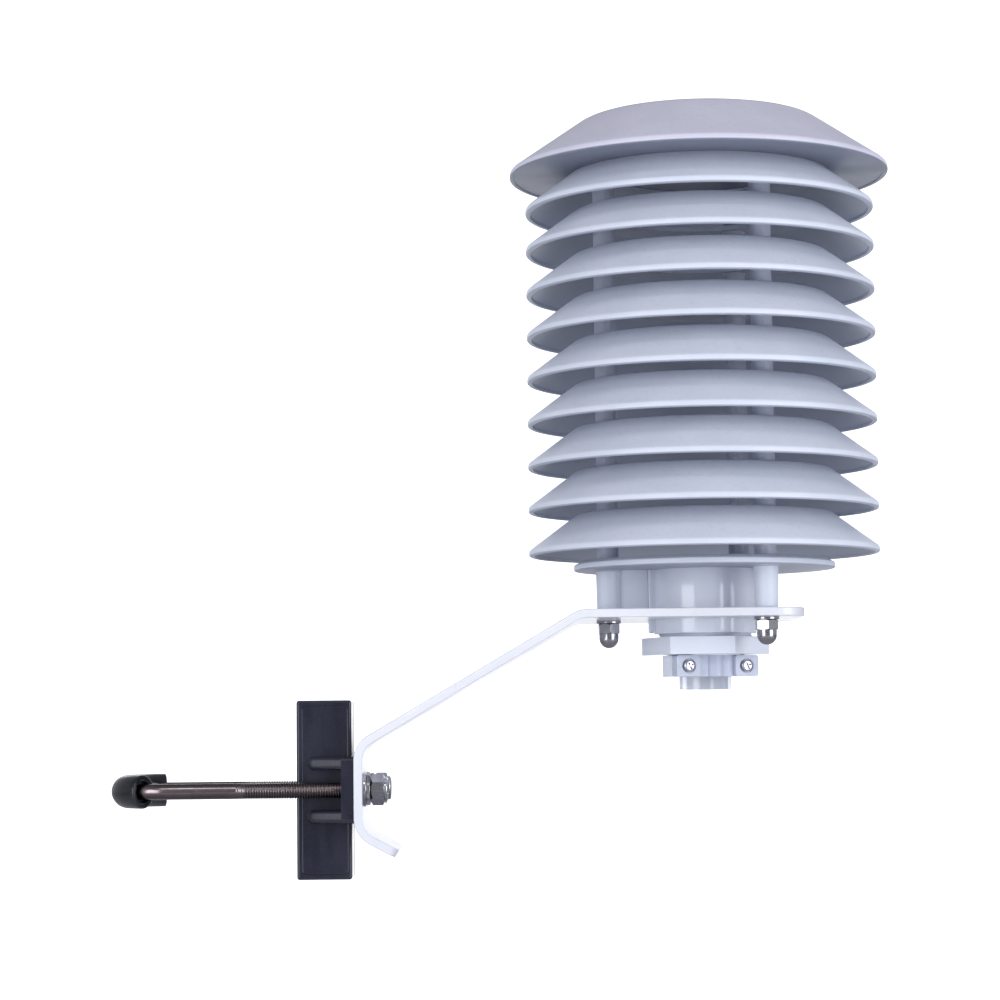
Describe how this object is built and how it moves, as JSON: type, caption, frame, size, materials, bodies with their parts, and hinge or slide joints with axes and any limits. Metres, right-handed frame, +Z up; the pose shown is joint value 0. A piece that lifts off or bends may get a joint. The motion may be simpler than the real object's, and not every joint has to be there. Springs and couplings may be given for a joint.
{
  "type": "radiation shield with mast bracket",
  "caption": "Naturally ventilated multi-plate radiation shield for an air sensor, on a bent plate bracket with a V-block and U-bolt mast clamp and a sensor gland underneath.",
  "frame": {"origin": "the mast's axis, at the height of the U-bolt's legs", "axes": "+X from the mast towards the shield, +Z up along the mast and the shield's axis, +Y across"},
  "size_m": [0.3847, 0.1872, 0.374],
  "materials": {
    "shield_plastic": "satin moulded, light grey-white",
    "collar_plastic": "glossy moulded, white",
    "white_paint": "gloss white powder coat",
    "black_plastic": "satin-gloss black, moulded",
    "black_rubber": "smooth black sleeve",
    "grey_rubber": "matte seal",
    "stainless": "drawn stainless bar",
    "polished_steel": "polished stainless",
    "screw_steel": "plain stainless",
    "brass_insert": "turned brass"
  },
  "bodies": {
    "shield_frame": {"cap_plate": "shield_plastic", "louvre_1": "shield_plastic", "louvre_2": "shield_plastic", "louvre_3": "shield_plastic", "louvre_4": "shield_plastic", "louvre_5": "shield_plastic", "louvre_6": "shield_plastic", "louvre_7": "shield_plastic", "louvre_8": "shield_plastic", "louvre_9": "shield_plastic", "base_plate": "shield_plastic", "sensor_collar": "collar_plastic", "tie_rod_1": "stainless", "tie_rod_2": "stainless", "tie_rod_3": "stainless", "rod_inserts": "brass_insert", "rod_washers": "stainless", "rod_cap_nuts": "polished_steel", "bracket": "white_paint", "v_block": "black_plastic", "clamp_washers": "stainless", "clamp_spring_washers": "stainless"},
    "u_bolt_set": {"u_bolt": "stainless", "u_bolt_sleeve": "black_rubber"},
    "near_nut": {"clamp_nut_near": "polished_steel"},
    "far_nut": {"clamp_nut_far": "polished_steel"},
    "gland_head": {"clamp_jaw": "collar_plastic", "pressure_ring": "collar_plastic", "gland_seal": "grey_rubber"},
    "gland_ring": {"gland_nut": "collar_plastic"},
    "saddle": {"cable_saddle": "collar_plastic"},
    "left_screw": {"saddle_screw_left": "screw_steel"},
    "right_screw": {"saddle_screw_right": "screw_steel"}
  },
  "joints": [
    {"name": "u_bolt_slide", "type": "slide", "parent": "shield_frame", "child": "u_bolt_set", "axis": [1, 0, 0], "range_m": [0, 0.05]},
    {"name": "near_nut_turn", "type": "hinge", "parent": "shield_frame", "child": "near_nut", "pos_m": [0.0506, -0.02, 0], "axis": [1, 0, 0], "range_deg": [-14410, 0]},
    {"name": "far_nut_turn", "type": "hinge", "parent": "shield_frame", "child": "far_nut", "pos_m": [0.0506, 0.02, 0], "axis": [1, 0, 0], "range_deg": [-14410, 0]},
    {"name": "gland_open", "type": "slide", "parent": "shield_frame", "child": "gland_head", "axis": [0, 0, -1], "range_m": [0, 0.0024]},
    {"name": "gland_nut_turn", "type": "hinge", "parent": "gland_head", "child": "gland_ring", "pos_m": [0.21, 0, 0.0678], "axis": [0, 0, -1], "range_deg": [0, 580]},
    {"name": "saddle_back_off", "type": "slide", "parent": "gland_head", "child": "saddle", "axis": [0.342, -0.9397, 0], "range_m": [0, 0.004]},
    {"name": "left_screw_turn", "type": "hinge", "parent": "saddle", "child": "left_screw", "pos_m": [0.20058, -0.01886, 0.058], "axis": [0.342, -0.9397, 0], "range_deg": [0, 2890]},
    {"name": "right_screw_turn", "type": "hinge", "parent": "saddle", "child": "right_screw", "pos_m": [0.22934, -0.00839, 0.058], "axis": [0.342, -0.9397, 0], "range_deg": [0, 2890]}
  ],
  "couplings": [
    {"joint": "near_nut_turn", "follows": "u_bolt_slide", "rad_per_m": -5026.5},
    {"joint": "far_nut_turn", "follows": "u_bolt_slide", "rad_per_m": -5026.5},
    {"joint": "gland_nut_turn", "follows": "gland_open", "rad_per_m": 4188.8},
    {"joint": "left_screw_turn", "follows": "saddle_back_off", "rad_per_m": 12566},
    {"joint": "right_screw_turn", "follows": "saddle_back_off", "rad_per_m": 12566}
  ]
}
